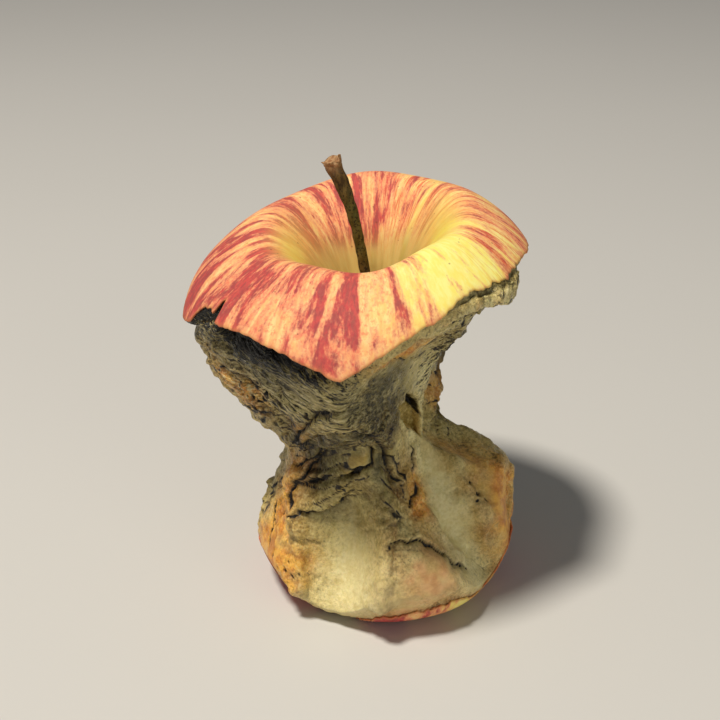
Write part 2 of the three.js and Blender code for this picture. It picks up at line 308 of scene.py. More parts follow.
def waves(points, size, seed):
    """Smooth noise from about -1 to 1 whose bumps are about `size` apart."""
    places = points / size
    cells = np.floor(places).astype(np.int64)
    inside = places - cells
    fade = inside**3 * (inside * (inside * 6 - 15) + 10)
    total = np.zeros(points.shape[:-1])
    for corner in np.ndindex(2, 2, 2):
        corner = np.array(corner)
        at = cells + corner
        slope = random_vector(at, seed * 3) * 2 - 1
        share = np.where(corner == 1, fade, 1 - fade).prod(-1)
        total += share * ((inside - corner) * slope).sum(-1)
    return total * 1.7


def scattered(points, size, seed):
    """The nearest two of random points: for each its distance, its place and four random numbers."""
    places = points / size
    home = np.floor(places).astype(np.int64)
    gaps = []
    spots = []
    cells = []
    for step in np.ndindex(3, 3, 3):
        cell = home + np.array(step) - 1
        spot = cell + random_vector(cell, seed * 3)
        gaps.append(np.linalg.norm(places - spot, axis=-1))
        spots.append(spot)
        cells.append(cell)
    gaps = np.stack(gaps)
    order = np.argsort(gaps, axis=0)[:2]
    found = []
    for rank in order:
        pick = rank[None, ..., None]
        spot = np.take_along_axis(np.stack(spots), pick, 0)[0]
        cell = np.take_along_axis(np.stack(cells), pick, 0)[0]
        numbers = random_vector(cell, seed * 3 + 50, 4)
        found.append((np.take_along_axis(gaps, rank[None], 0)[0] * size, spot * size, numbers))
    return found


def wave_vector(points, size, seed):
    """Smooth noise as vectors, to push places about with."""
    return np.stack([waves(points, size, seed + k) for k in range(3)], -1)


# ---- small formulas ----
def smooth_step(low, high, value):
    """0 at low, 1 at high, smooth between. low may be the larger."""
    t = np.clip((value - low) / (high - low), 0, 1)
    return t * t * (3 - 2 * t)


def bell(value):
    """1 at 0, falling to 0 on either side."""
    return np.exp(-(value**2))


def unit(vectors):
    """The same directions with a length of 1."""
    return vectors / np.maximum(np.linalg.norm(vectors, axis=-1, keepdims=True), 1e-9)


def distance_down(points):
    """How far along its own column each point is."""
    run = np.linalg.norm(np.diff(points, axis=1), axis=-1)
    return np.concatenate([np.zeros((len(points), 1)), run.cumsum(1)], 1)


# ---- the shape of the core ----
def curve_points(path, count):
    """Points along a Catmull-Rom curve through a path."""
    path = np.array(path, float)
    last = len(path) - 1
    run = np.linspace(0, last, count)
    first = np.minimum(run.astype(int), last - 1)
    t = (run - first)[:, None]
    before, start, end, after = (path[np.clip(first + k, 0, last)] for k in (-1, 0, 1, 2))
    leaving = (end - before) / 2
    arriving = (after - start) / 2
    cubic = 2 * start - 2 * end + leaving + arriving
    square = 3 * end - 3 * start - 2 * leaving - arriving
    return cubic * t**3 + square * t**2 + leaving * t + start


def whole_meridian():
    """(radius, height) along the whole apple, from the floor of the stalk cavity to the calyx basin."""
    h = HEIGHT
    outline = [
        (0, h - CAVITY_DEPTH), (3, h - 17.8), (6.5, h - 13.5), (11, h - 5.5), (17.5, h),
        (24.4, h - 2.4), (31.2, h - 9), (35.4, h - 19), (RADIUS, h - 30), (35, 38), (31, 27),
        (27.8, 17), (25.6, 10), (22, 3.6), (15.5, 0), (8, 2.5), (3, 5.5), (0, 6),
    ]
    return curve_points(outline, FINE_STEPS)


def apple_surface(theta):
    """Radius and height of the whole apple, one row for each direction."""
    meridian = whole_meridian()
    angle = theta[:, None]
    r = meridian[None, :, 0]
    z = meridian[None, :, 1]
    lobe = np.cos(5 * (angle - math.radians(LOBE_AZIMUTH)))
    out = np.clip(r / RADIUS, 0, 1)
    up = np.clip(z / HEIGHT, 0, 1) ** 2
    high = np.clip((z / HEIGHT - 0.3) / 0.5, 0, 1)
    r = r * (1 + LOBE_SWELL * lobe * out)
    r = r + SHOULDER_SHIFT * out * high * np.cos(angle - math.radians(SHIFT_AZIMUTH))
    crest = bell((r - 15.5) / 8)
    shoulder = (r / RADIUS) * np.cos(angle - math.radians(SHOULDER_AZIMUTH))
    rise = LOBE_CREST * lobe * crest + SHOULDER_RISE * shoulder
    return r, np.maximum(z + rise * up, FOOT_FLAT)


def turn_from(azimuth, theta):
    """The smallest signed turn in radians from an azimuth in degrees."""
    turn = theta - np.radians(azimuth)
    return np.arctan2(np.sin(turn), np.cos(turn))


def bite_radius(bite, slope, theta, z):
    """Distance from the axis to one bite. `slope` is the height over which its slant counts."""
    rise = z - bite["z"]
    turn = turn_from(bite["azimuth"] + bite.get("twist", 0) * rise, theta)
    up = np.maximum(rise, 0) / bite["high"]
    down = np.maximum(-rise, 0) / bite["low"]
    opening = OPENING * ((turn / bite["wide"]) ** 2 + up**2 + down**2)
    return bite["reach"] + bite.get("slant", 0) * slope + bite.get("roll", 0) * turn + opening


def waist_radius(theta, z):
    """Distance from the axis to the flared neck."""
    side = np.cos(theta)
    neck = WAIST["z"] + WAIST["tilt"] * side
    up = np.maximum(z - neck, 0)
    down = np.maximum(neck - z, 0) * (WAIST["down"] + WAIST["shelf"] * np.clip(side, 0, 1) ** 2)
    flare = np.hypot(up, WAIST["round"]) + np.hypot(down, WAIST["round"]) - 2 * WAIST["round"]
    return WAIST["radius"] + WAIST["offset"] * side + flare


def flesh_radius(theta, z):
    """Distance from the axis to what the bites left."""
    bulge = BARREL["back"] * np.clip(np.sin(theta), 0, 1) ** 2
    barrel = BARREL["radius"] + bulge + np.maximum(z - BARREL["z"], 0) * BARREL["up"]
    limits = [waist_radius(theta, z), barrel]
    limits += [bite_radius(b, np.maximum(z - b["z"], 0), theta, z) for b in UPPER_BITES]
    limits += [bite_radius(b, np.maximum(b["z"] - z, 0), theta, z) for b in LOWER_BITES]
    limits = np.stack(np.broadcast_arrays(*limits))
    least = limits.min(0)
    total = np.exp(-(limits - least) / BLEND).sum(0)
    across = turn_from(FLANK["azimuth"], theta) / FLANK["wide"]
    above = (z - FLANK["z"]) / FLANK["high"]
    return least - BLEND * np.log(total) + FLANK["out"] * np.exp(-(across**2) - above**2)


def in_space(r, z, theta):
    """Points in the apple's frame from radius, height and direction, with the lean of its axis."""
    return np.stack([r * np.cos(theta) + LEAN * z, r * np.sin(theta), z + 0 * r], -1)


def sample(values, places):
    """Values read between samples: one row of places for each row of values."""
    low = np.clip(np.floor(places).astype(int), 0, values.shape[1] - 2)
    share = places - low
    rows = np.arange(len(values))[:, None]
    return values[rows, low] * (1 - share) + values[rows, low + 1] * share


def inset(r, z, depth):
    """A meridian moved inwards by a depth."""
    along_r = np.gradient(r, axis=1)
    along_z = np.gradient(z, axis=1)
    length = np.maximum(np.hypot(along_r, along_z), 1e-6)
    return np.maximum(r + depth * along_z / length, 0), z - depth * along_r / length


def bite_edges(theta, r, z):
    """Where each meridian meets the bites, as two places counted in samples."""
    over = r - flesh_radius(theta[:, None], z)
    step = np.arange(r.shape[1])
    bitten = (over > 0) & (step > FINE_STEPS * 0.28) & (step < FINE_STEPS * 0.9)
    upper = bitten.argmax(1)
    lower = FINE_STEPS - 1 - bitten[:, ::-1].argmax(1)
    column = np.arange(len(theta))

    def crossing(outside, inside):
        gap = over[column, outside]
        return outside + (inside - outside) * gap / (gap - over[column, inside])

    return crossing(upper - 1, upper), crossing(lower + 1, lower)


def torn(theta, tears, seed):
    """How far an edge is torn back at each direction, in millimetres."""
    ring = np.stack([RADIUS * np.cos(theta), RADIUS * np.sin(theta), 0 * theta], -1)
    ragged = 0.35 * waves(ring, 7, seed)
    ragged = ragged + 0.25 * waves(ring, 2.6, seed + 1) + 0.2 * waves(ring, 1.2, seed + 2)
    for azimuth, wide, depth in tears:
        across = np.degrees(turn_from(azimuth, theta)) / wide
        uneven = 1 + 0.25 * waves(ring, 1.5, seed + 3)
        ragged = ragged + depth * np.exp(-(np.abs(across) ** 5)) * uneven
    return ragged


def even_rows(points, count):
    """Each column's polyline resampled into evenly spaced rows."""
    rows = []
    for column, distance in zip(points, distance_down(points)):
        goal = np.linspace(0, distance[-1], count)
        rows.append(np.stack([np.interp(goal, distance, values) for values in column.T], -1))
    return np.array(rows)


def surface_normals(points):
    """Outward normals of a surface given as columns round the axis and rows going down."""
    around = np.roll(points, -1, 0) - np.roll(points, 1, 0)
    down = np.gradient(points, axis=1)
    return unit(np.cross(down, around))


# ---- meshes ----
def in_scene(name, data):
    """A new object in the scene."""
    made = bpy.data.objects.new(name, data)
    bpy.context.scene.collection.objects.link(made)
    return made


def closed_surface(name, points, values):
    """A closed mesh from columns of points. The first and last rows are its poles."""
    columns, rows = points.shape[:2]
    middle = points[:, 1:-1].reshape(-1, 3)
    poles = np.stack([points[:, 0].mean(0), points[:, -1].mean(0)])
    place = np.arange(columns * (rows - 2)).reshape(columns, rows - 2)
    beside = np.roll(place, -1, 0)
    quads = np.stack([place[:, :-1], place[:, 1:], beside[:, 1:], beside[:, :-1]], -1).reshape(-1, 4)
    first_pole = len(middle)
    top = np.stack([np.full(columns, first_pole), place[:, 0], beside[:, 0]], -1)
    bottom = np.stack([np.full(columns, first_pole + 1), beside[:, -1], place[:, -1]], -1)
    mesh = bpy.data.meshes.new(name)
    vertices = to_frame(np.vstack([middle, poles]))
    mesh.from_pydata(vertices.tolist(), [], quads.tolist() + top.tolist() + bottom.tolist())
    mesh.polygons.foreach_set("use_smooth", np.ones(len(mesh.polygons), bool))
    for label, value in values.items():
        flat = value[:, 1:-1].reshape(len(middle), -1)
        ends = np.stack([value[:, 0].mean(0), value[:, -1].mean(0)]).reshape(2, -1)
        kind, field = ("FLOAT", "value") if flat.shape[1] == 1 else ("FLOAT_VECTOR", "vector")
        attribute = mesh.attributes.new(label, kind, "POINT")
        attribute.data.foreach_set(field, np.vstack([flat, ends]).astype(np.float32).ravel())
    mesh.update()
    return in_scene(name, mesh)


# ---- the torn flesh ----
def patch(azimuth, z, wide, high, theta, height):
    """1 at the middle of a place on the flesh, falling to 0 round it."""
    across = np.degrees(turn_from(azimuth, theta)) / wide
    return np.exp(-(across**2) - ((height - z) / high) ** 2)


def sector(azimuth, wide, theta):
    """1 in a direction, falling to 0 on either side of it."""
    return bell(np.degrees(turn_from(azimuth, theta)) / wide)


def patches(places, theta, height):
    """1 at the middle of any of the places, falling to 0 away from all of them."""
    result = np.zeros(height.shape)
    for place in places:
        result = np.maximum(result, patch(*place, theta, height))
    return result


def on_flesh(azimuth, z):
    """The point of the bitten flesh in a direction and at a height."""
    theta = np.radians(azimuth)
    return in_space(flesh_radius(theta, z), z, theta)


def smooth_path(path, steps=70):
    """Points along a curve through a few places on the flesh."""
    path = np.array(path, float)
    azimuth = np.unwrap(path[:, 0], period=360)
    run = np.linspace(0, len(path) - 1, steps)
    knots = np.arange(len(path))
    return on_flesh(np.interp(run, knots, azimuth), np.interp(run, knots, path[:, 1]))


def crack(points, normals, path, width, depth, rise=0.0, broken=0.45, spread=2.2):
    """Relief of a crack, with painted shade in its groove and on its sunk side, or, with a negative
    depth, of a ridge.
    """
    line = smooth_path(path)
    tangent = unit(np.gradient(line, axis=0))
    relief, recess_shade, shade = np.zeros((3, *points.shape[:-1]))
    middle = line.mean(0)
    reach = np.linalg.norm(line - middle, axis=1).max() + 6
    near = np.linalg.norm(points - middle, axis=-1) < reach
    p = points[near]
    p = p + (0.6 * wave_vector(p, 3.0, 61) + 0.35 * wave_vector(p, 1.2, 64))
    nearest = np.linalg.norm(p[:, None] - line[None], axis=-1).argmin(1)
    offset = p - line[nearest]
    side = (np.cross(tangent[nearest], normals[near]) * offset).sum(-1)
    along = np.maximum(np.abs((tangent[nearest] * offset).sum(-1)) - 0.4, 0)
    away = np.maximum(np.abs((normals[near] * offset).sum(-1)) - 1.5, 0)
    gap = np.sqrt(side**2 + along**2 + away**2)
    taper = np.clip(np.minimum(nearest, len(line) - 1 - nearest) / 10, 0, 1)
    breadth = width * (0.8 + broken * waves(p, 2.6, 67)) * (0.3 + 0.7 * taper)
    breadth = np.clip(breadth, 0.12, 9)
    groove = bell(gap / breadth)
    lip = np.tanh(side / 0.35) * np.exp(-gap / spread) * (1 - groove)
    relief[near] = taper * (-depth * groove - rise * lip)
    recess_shade[near] = np.clip(taper * 3, 0, 1) * np.clip(1 - 0.62 * gap / breadth, 0, 1)
    shade[near] = taper * min(rise, 1) * np.clip(lip, 0, 1)
    return relief, recess_shade, shade


def local_place(points, azimuth, z, lean):
    """Distance across and up from a place on the flesh, in millimetres, leaning by a slope."""
    centre = on_flesh(azimuth, z)
    across_axis = np.array([-math.sin(math.radians(azimuth)), math.cos(math.radians(azimuth)), 0])
    offset = points - centre
    up = offset[..., 2]
    across = (offset * across_axis).sum(-1) - lean * up
    return across, up, np.linalg.norm(offset, axis=-1)


def seed_chamber(points):
    """The opened seed chamber: a lens-shaped hole with a smooth lining, and its undercut sides, painted
    dark as shade.
    """
    across, up, far = local_place(points, CHAMBER["azimuth"], CHAMBER["z"], CHAMBER["lean"])
    ragged = 0.22 * waves(points, 1.4, 71)
    lens = np.abs(across) / CHAMBER["wide"] + (up / CHAMBER["high"]) ** 2 + ragged
    lens = lens + np.where(far > 8, 9, 0)
    inside = smooth_step(1.1, 0.72, lens)
    rim = bell((lens - 1.2) / 0.14)
    upper_right = across / CHAMBER["wide"] + 0.6 * up / CHAMBER["high"]
    lower_left = -across / CHAMBER["wide"] - 0.25 * up / CHAMBER["high"]
    crescents = smooth_step(0.62, 0.8, upper_right) + smooth_step(0.72, 0.85, lower_left)
    sides = np.clip(crescents, 0, 1) * smooth_step(1.15, 0.95, lens)
    return inside, rim, sides


def carpel(points):
    """A smooth horny patch of the core's lining, with broken crevices beside it that are painted dark
    as shade.
    """
    across, up, far = local_place(points, CARPEL["azimuth"], CARPEL["z"], CARPEL["lean"])
    bend = 0.45 * waves(points, 3.0, 72) + 0.2 * waves(points, 1.2, 73)
    square = (np.abs(across / CARPEL["wide"]) ** 2.6 + np.abs(up / CARPEL["high"]) ** 2.6) ** (1 / 2.6)
    edge = square + bend + np.where(far > 9, 9, 0)
    beside = smooth_step(-0.3, 0.5, across / 3 - up / 8 + 0.6 * waves(points, 2.8, 74))
    return smooth_step(1.0, 0.7, edge), bell((edge - 1.15) / 0.16) * beside


def unrolled(points, theta, height, azimuth, slope, stretch):
    """The flesh unrolled round an azimuth and squeezed along a slope, which draws noise out."""
    radius = np.hypot(points[..., 0] - LEAN * points[..., 2], points[..., 1])
    across = UNROLL_RADIUS * turn_from(azimuth, theta)
    angle = math.radians(slope)
    along = across * math.cos(angle) + height * math.sin(angle)
    up = height * math.cos(angle) - across * math.sin(angle)
    return np.stack([along / stretch, up, radius], -1)


def strokes(points, theta, height):
    """Long shallow grooves where teeth dragged through the flesh."""
    grooves = np.zeros(height.shape)
    for number, stroke in enumerate(STROKES):
        where = patch(*stroke["at"], theta, height)
        place = unrolled(points, theta, height, stroke["at"][0], stroke["slope"], STROKE_STRETCH)
        wide = 1 - 2 * np.abs(waves(place, 2.6, 81 + number))
        fine = waves(place, 1.1, 91 + number)
        grooves += where * stroke["depth"] * (0.5 * wide + 0.45 * fine)
    return grooves


def shingles(points, theta, height):
    """Torn ledges that overlap downwards, and the dark line of painted shadow under each."""
    relief = np.zeros(height.shape)
    recess_shade = np.zeros(height.shape)
    for number, area in enumerate(SHINGLES):
        size = area["size"]
        where = patch(*area["at"], theta, height)
        place = unrolled(points, theta, height, area["at"][0], area["slope"], area.get("stretch", 3.4))
        place = place + 0.22 * size * wave_vector(place, size * 0.7, 141)
        levels = []
        gaps = []
        for gap, spot, numbers in scattered(place, size, 151 + number):
            levels.append(0.7 * (numbers[..., 0] - 0.5) - 1.1 * (place - spot)[..., 1] / size)
            gaps.append(gap)
        border = gaps[1] - gaps[0]
        share = 0.5 + 0.5 * smooth_step(0, 0.45, border)
        relief += where * area["depth"] * (levels[0] * share + levels[1] * (1 - share))
        step = smooth_step(0.0, 0.5, levels[1] - levels[0])
        recess_shade = np.maximum(recess_shade, smooth_step(0.15, 0.5, where) * step * bell(border / 0.42))
    return relief, recess_shade


def facets(points):
    """Flat broken faces at different heights, and the distance to their borders."""
    bent = points + 1.8 * wave_vector(points, 5, 11) + 0.45 * wave_vector(points, 1.7, 15)
    faces = scattered(bent, 6.5, 21)
    heights = []
    for _, centre, numbers in faces:
        tilt = numbers[..., 1:] * 2 - 1
        heights.append(1.0 * (numbers[..., 0] - 0.5) + 0.2 * ((bent - centre) * tilt).sum(-1))
    border = faces[1][0] - faces[0][0]
    share = 0.5 + 0.5 * smooth_step(0, 0.7, border)
    return heights[0] * share + heights[1] * (1 - share), border


def pits(points, theta, height):
    """Small holes in clusters, and a few strays, sunk and painted dark as shade."""
    bent = points + 0.3 * wave_vector(points, 0.9, 35)
    nearest, _, numbers = scattered(bent, 1.2, 31)[0]
    crowd = np.zeros(height.shape)
    for azimuth, z, radius in PIT_CLUSTERS:
        gap = np.linalg.norm(points - on_flesh(azimuth, z), axis=-1)
        crowd = np.maximum(crowd, bell(gap / radius))
    chosen = numbers[..., 0] < 0.75 * crowd
    return chosen * smooth_step(0.48, 0.2, nearest * (0.7 + 0.7 * numbers[..., 1]))


def under_the_cap(theta, height, below_cap):
    """Relief of the flesh along the cap's edge, with the masks of its black band of painted shade, its
    ledge, painted pale as if lit, and the painted shade under the ledge.
    """
    left = patch(-134, 61, 36, 17, theta, height)
    right = patch(-36, 66, 34, 13, theta, height)
    undercut = (0.7 + 1.6 * left) * bell((below_cap - 1.5 - left) / (0.8 + 0.9 * left))
    ledge = right * bell((below_cap - 3.4) / 1.2)
    hollow = right * bell((below_cap - 7) / 1.8)
    line = right * bell((below_cap - 0.8) / 0.7)
    below = np.maximum(below_cap, 0)
    # A black band of painted shade under the cap's left edge.
    band = left * (bell(below / 8) + 0.7 * bell(below / 1.6))
    relief = 1.8 * ledge - 1.3 * hollow - 0.4 * line - undercut * (1 - 0.8 * right)
    return relief, band, ledge, np.maximum(hollow * 0.9, line)


def colour_masks(points, theta, height, above_base):
    """Where the flesh is browned, golden, pink and pale, where it is painted lighter as if lit, and
    where it is painted olive and darker as shade, some of it wet, each from 0 to 1.
    """
    patchy = 0.75 + 0.6 * waves(points, 4, 6)
    fine = 0.85 + 0.5 * waves(points, 2, 10)
    away = smooth_step(0.2, -0.6, -np.sin(theta))
    ochre_and_glints = np.clip(patches(OCHRE, theta, height) * patchy * 1.7, 0, 1)
    ochre_and_glints = np.maximum(ochre_and_glints, 0.7 * away * smooth_step(0.1, 0.5, waves(points, 9, 7)))
    brown = np.clip(patches(BROWN, theta, height) * (0.7 + 0.8 * waves(points, 3, 8)), 0, 1)
    near_skin = np.exp(-np.clip(above_base, 0, 99) / 1.2) * (0.5 + 0.5 * waves(points, 6, 9))
    pink = np.clip(patches(PINK, theta, height) * fine * 1.2 + near_skin, 0, 1)
    pale_and_painted_light = np.clip(patches(PALE_AND_PAINTED_LIGHT, theta, height) * fine * 1.2, 0, 1)
    olive_shade = np.clip(patches(OLIVE_SHADE, theta, height) * patchy * 1.2, 0, 1)
    # Painted shade on patches of flesh that are also wet and glossier.
    painted_shade_and_wet = np.clip(patches(PAINTED_SHADE_AND_WET, theta, height) * (0.85 + 0.5 * waves(points, 3, 12)), 0, 1)
    return dict(ochre_and_glints=ochre_and_glints, brown=brown, pink=pink, pale_and_painted_light=pale_and_painted_light, olive_shade=olive_shade, painted_shade_and_wet=painted_shade_and_wet)


def torn_surface(points, theta, height, rough):
    """Relief of torn flesh with the painted shade in its seams and under its ledges, and the part of
    its relief that is broad lumps.
    """
    lumps = 0.45 * waves(points, 12, 1) + 0.35 * waves(points, 5.5, 2) * rough
    for azimuth, z, wide, high, out in LUMPS:
        lumps += out * smooth_step(0.2, 0.75, patch(azimuth, z, wide, high, theta, height))
    facet, border = facets(points)
    # Seams between faces sink and are painted dark as shade.
    seam = bell(border / 0.35) * smooth_step(-0.1, 0.5, waves(points, 6, 3))
    ledges, gaps = shingles(points, theta, height)
    crumbs = (0.17 * waves(points, 1.5, 4) + 0.12 * waves(points, 0.8, 5)) * (0.25 + 0.75 * rough)
    grooves = strokes(points, theta, height)
    relief = lumps + facet * rough * 0.6 + grooves + ledges * rough + crumbs - 0.4 * seam * rough
    return relief, np.maximum(0.5 * seam, gaps) * rough, lumps


def add_cracks(points, normals, theta, height, relief, recess_shade):
    """Cracks, ridges and pits worked into the relief and into the painted shade of recesses, and the
    painted shade beside the cracks.
    """
    sunk_side = np.zeros(height.shape)
    for mark in CRACKS:
        depth, line, shade = crack(points, normals, **mark)
        relief = relief + depth
        recess_shade = np.maximum(recess_shade, line)
        sunk_side = np.maximum(sunk_side, shade)
    for ridge in RIDGES:
        relief = relief + crack(points, normals, **ridge)[0]
    holes = pits(points, theta, height)
    return relief - 0.7 * holes, np.maximum(recess_shade, holes), sunk_side


def open_core(points, relief, recess_shade):
    """The carpel and the seed chamber worked into the relief and the painted shade of recesses, and
    where each is.
    """
    lining, crevice = carpel(points)
    relief = relief * (1 - 0.85 * lining) + CARPEL["out"] * lining - 1.2 * crevice
    recess_shade = np.maximum(recess_shade * (1 - lining), 0.9 * crevice)
    hollow, rim, sides = seed_chamber(points)
    relief = relief * (1 - hollow) - CHAMBER["depth"] * (hollow + 0.4 * sides) + 0.12 * rim
    recess_shade = np.maximum(recess_shade * (1 - hollow), sides)
    return relief, recess_shade, lining, hollow


def flesh_marks(points, normals, theta, height, below_cap, above_base):
    """Displacement of the flesh along its normals, and the masks that colour it."""
    rough = 1 - 0.85 * patches(CLEAN, theta, height)
    relief, recess_shade, lumps = torn_surface(points, theta, height, rough)
    relief, recess_shade, sunk_side = add_cracks(points, normals, theta, height, relief, recess_shade)
    relief, recess_shade, lining, hollow = open_core(points, relief, recess_shade)
    edge_relief, band, ledge, shade = under_the_cap(theta, height, below_cap)
    relief = relief + edge_relief
    # Near the skin it may only sink, so that it never comes through.
    shown = smooth_step(0.0, SHOW_DEPTH, below_cap) * smooth_step(0.0, SHOW_DEPTH, above_base)
    relief = np.where(relief > 0, relief * shown, relief * np.clip(shown * 3, 0, 1))
    masks = colour_masks(points, theta, height, above_base)
    # The ledge is painted pale with golden glints as painted light, and the hollow and line under it
    # get painted shade.
    glints = 0.6 * ledge * smooth_step(0.0, 0.5, waves(points, 3, 13))
    masks["ochre_and_glints"] = np.maximum(masks["ochre_and_glints"], np.maximum(0.75 * hollow, glints))
    masks["pale_and_painted_light"] = np.maximum(masks["pale_and_painted_light"] * (1 - shade), 0.75 * ledge)
    masks["painted_shade_and_wet"] = np.maximum(np.maximum(masks["painted_shade_and_wet"], 0.8 * sunk_side) * (1 - hollow), shade)
    # The black band is painted shade under the cap's left edge.
    masks["band"] = band
    masks["recess_shade"] = np.clip(recess_shade, 0, 1)
    # Hollows of the relief get painted shade.
    masks["painted_hollow_shade"] = smooth_step(-0.2, -1.9, relief - lumps * 0.7) * (1 - hollow)
    masks["rough"] = rough * (1 - lining)
    masks["lining"] = np.maximum(lining, hollow)
    for side, (where, azimuth, slope) in DRAWN.items():
        masks[side] = patch(*where, theta, height)
        masks[side + "_lie"] = unrolled(points, theta, height, azimuth, slope, DRAWN_STRETCH)
    return relief, masks


def make_flesh(theta, r, z, upper, lower):
    """The closed body of flesh, coarse where skin covers it and fine where it shows."""
    step = np.hypot(np.gradient(r, axis=1), np.gradient(z, axis=1))
    in_r, in_z = inset(r, z, SKIN)
    start = upper - CAP_TUCK / sample(step, upper[:, None])[:, 0]
    end = lower + BASE_TUCK / sample(step, lower[:, None])[:, 0]
    band = flesh_band(theta, in_r, in_z, (start, upper, lower, end))
    run = distance_down(band)
    below_cap = run - CAP_TUCK + torn(theta, CAP_TEARS, CAP_SEED)[:, None]
    above_base = run[:, -1:] - BASE_TUCK - run + torn(theta, BASE_TEARS, BASE_SEED)[:, None]
    angle = np.repeat(theta[:, None], FLESH_ROWS, 1)
    points = in_space(band[..., 0], band[..., 1], angle)
    normals = surface_normals(points)
    relief, masks = flesh_marks(points, normals, angle, band[..., 1], below_cap, above_base)
    points = points + normals * relief[..., None]
    hidden = np.linspace(0, 1, HIDDEN_ROWS + 1)[:-1]
    above = start[:, None] * hidden
    below = end[:, None] + (FINE_STEPS - 1 - end[:, None]) * (1 - hidden[::-1])
    cap = in_space(sample(in_r, above), sample(in_z, above), theta[:, None])
    base = in_space(sample(in_r, below), sample(in_z, below), theta[:, None])
    values = {}
    for name, mask in masks.items():
        blank = np.zeros((len(theta), HIDDEN_ROWS) + mask.shape[2:])
        values[name] = np.concatenate([blank, mask, blank], 1)
    return closed_surface("flesh", np.concatenate([cap, points, base], 1), values)


def flesh_band(theta, in_r, in_z, places):
    """Radius and height down the flesh and a stretch of it under either skin."""
    start, upper, lower, end = (place[:, None] for place in places)
    share = np.linspace(0, 1, BAND_STEPS)
    under_cap = start + (upper - start) * share
    under_base = lower + (end - lower) * share
    top_r = sample(in_r, under_cap)
    top_z = sample(in_z, under_cap)
    low_r = sample(in_r, under_base)
    low_z = sample(in_z, under_base)
    share = np.linspace(0, 1, 8 * BAND_STEPS)[1:-1]
    height = top_z[:, -1:] + (low_z[:, :1] - top_z[:, -1:]) * share
    radius = np.empty(height.shape)
    for j in range(len(theta)):
        span = slice(int(upper[j, 0]) - 1, int(lower[j, 0]) + 3)
        radius[j] = np.interp(-height[j], -in_z[j, span], in_r[j, span])
    radius = np.minimum(radius, flesh_radius(theta[:, None], height))
    all_r = np.concatenate([top_r, radius, low_r], 1)
    all_z = np.concatenate([top_z, height, low_z], 1)
    return even_rows(np.stack([all_r, all_z], -1), FLESH_ROWS)


# ---- the skin ----
def skin_outline(r, z, pole, edge, length, rows):
    """Radius, height and place on each meridian: from the pole over the torn edge and back inside."""
    reach = edge[:, None] - pole
    outer = pole + reach * np.linspace(0, 1, rows) ** 0.9
    lining = pole + reach * np.linspace(1, 0, LINING_ROWS + 1)[1:]
    inner = np.concatenate([edge[:, None], lining], 1)
    beyond = edge[:, None] + np.sign(reach) * EDGE_ROUND / length[:, None]
    in_r, in_z = inset(r, z, SKIN * 0.9)
    mid_r, mid_z = inset(r, z, SKIN * 0.45)
    radius = np.concatenate([sample(r, outer), sample(mid_r, beyond), sample(in_r, inner)], 1)
    height = np.concatenate([sample(z, outer), sample(mid_z, beyond), sample(in_z, inner)], 1)
    return radius, height, np.concatenate([outer, beyond, inner], 1)


def make_skin(name, theta, r, z, pole, edge, rows, tears, seed):
    """A thin closed shell of skin from a pole to a torn bite edge."""
    step = np.hypot(np.gradient(r, axis=1), np.gradient(z, axis=1))
    length = sample(step, edge[:, None])[:, 0]
    back = (torn(theta, tears, seed) - LIP) / length
    edge = edge - back if pole == 0 else edge + back
    radius, height, place = skin_outline(r, z, pole, edge, length, rows)
    run = np.cumsum(step, 1)
    along = sample(run, place)
    to_edge = np.abs(sample(run, edge[:, None]) - along)
    angle = np.repeat(theta[:, None], radius.shape[1], 1)
    points = in_space(radius, height, angle)
    swell = 0.16 * waves(points, 9, seed + 7) * np.clip(radius / 6, 0, 1)
    ring = np.stack([np.cos(angle), np.sin(angle)], -1)
    points[..., :2] += ring * swell[..., None]
    values = skin_masks(angle, radius, pole == 0)
    values["lie"] = np.concatenate([ring, along[..., None] / 10], -1)
    values["rim"] = np.exp(-to_edge / 0.45)
    if pole:
        points = points[:, ::-1]
        values = {label: value[:, ::-1] for label, value in values.items()}
    return closed_surface(name, points, values)


def skin_masks(angle, radius, is_cap):
    """Where the skin blushes, where it has thin lines, its hollow's floor and its green lips."""
    blush = BLUSH_OF_CAP if is_cap else BLUSH_OF_BASE
    for azimuth, wide, redder in BLUSH:
        blush = blush + redder * sector(azimuth, wide, angle)
    lines = smooth_step(75, 35, np.abs(np.degrees(turn_from(25, angle))))
    lips = np.maximum(sector(-160, 40, angle), sector(-10, 35, angle)) * is_cap
    green = lips * bell((radius - LIP_RADIUS) / LIP_WIDTH)
    start, full = CAVITY if is_cap else BASIN
    pinch = CAVITY_PINCH * sector(85, 40, angle) * is_cap
    hollow = smooth_step(start - pinch, full, radius)
    return dict(blush=np.clip(blush, 0, 1), lines=lines, green=green, hollow=hollow)


# ---- the stalk and the calyx ----
def bark_relief(points, turn, t):
    """How far the bark stands out: long grain, three soft ridges, and a ragged end."""
    long_grain = points * np.array([1, 1, 0.22])
    bark = 0.10 * waves(long_grain, 0.9, 101) + 0.06 * waves(long_grain, 0.45, 102)
    bark = bark + 0.09 * np.cos(3 * turn + 0.4) + 0.10 * waves(points, 2.2, 103)
    return bark + smooth_step(0.93, 1.0, t) * 0.45 * waves(points, 0.9, 104)


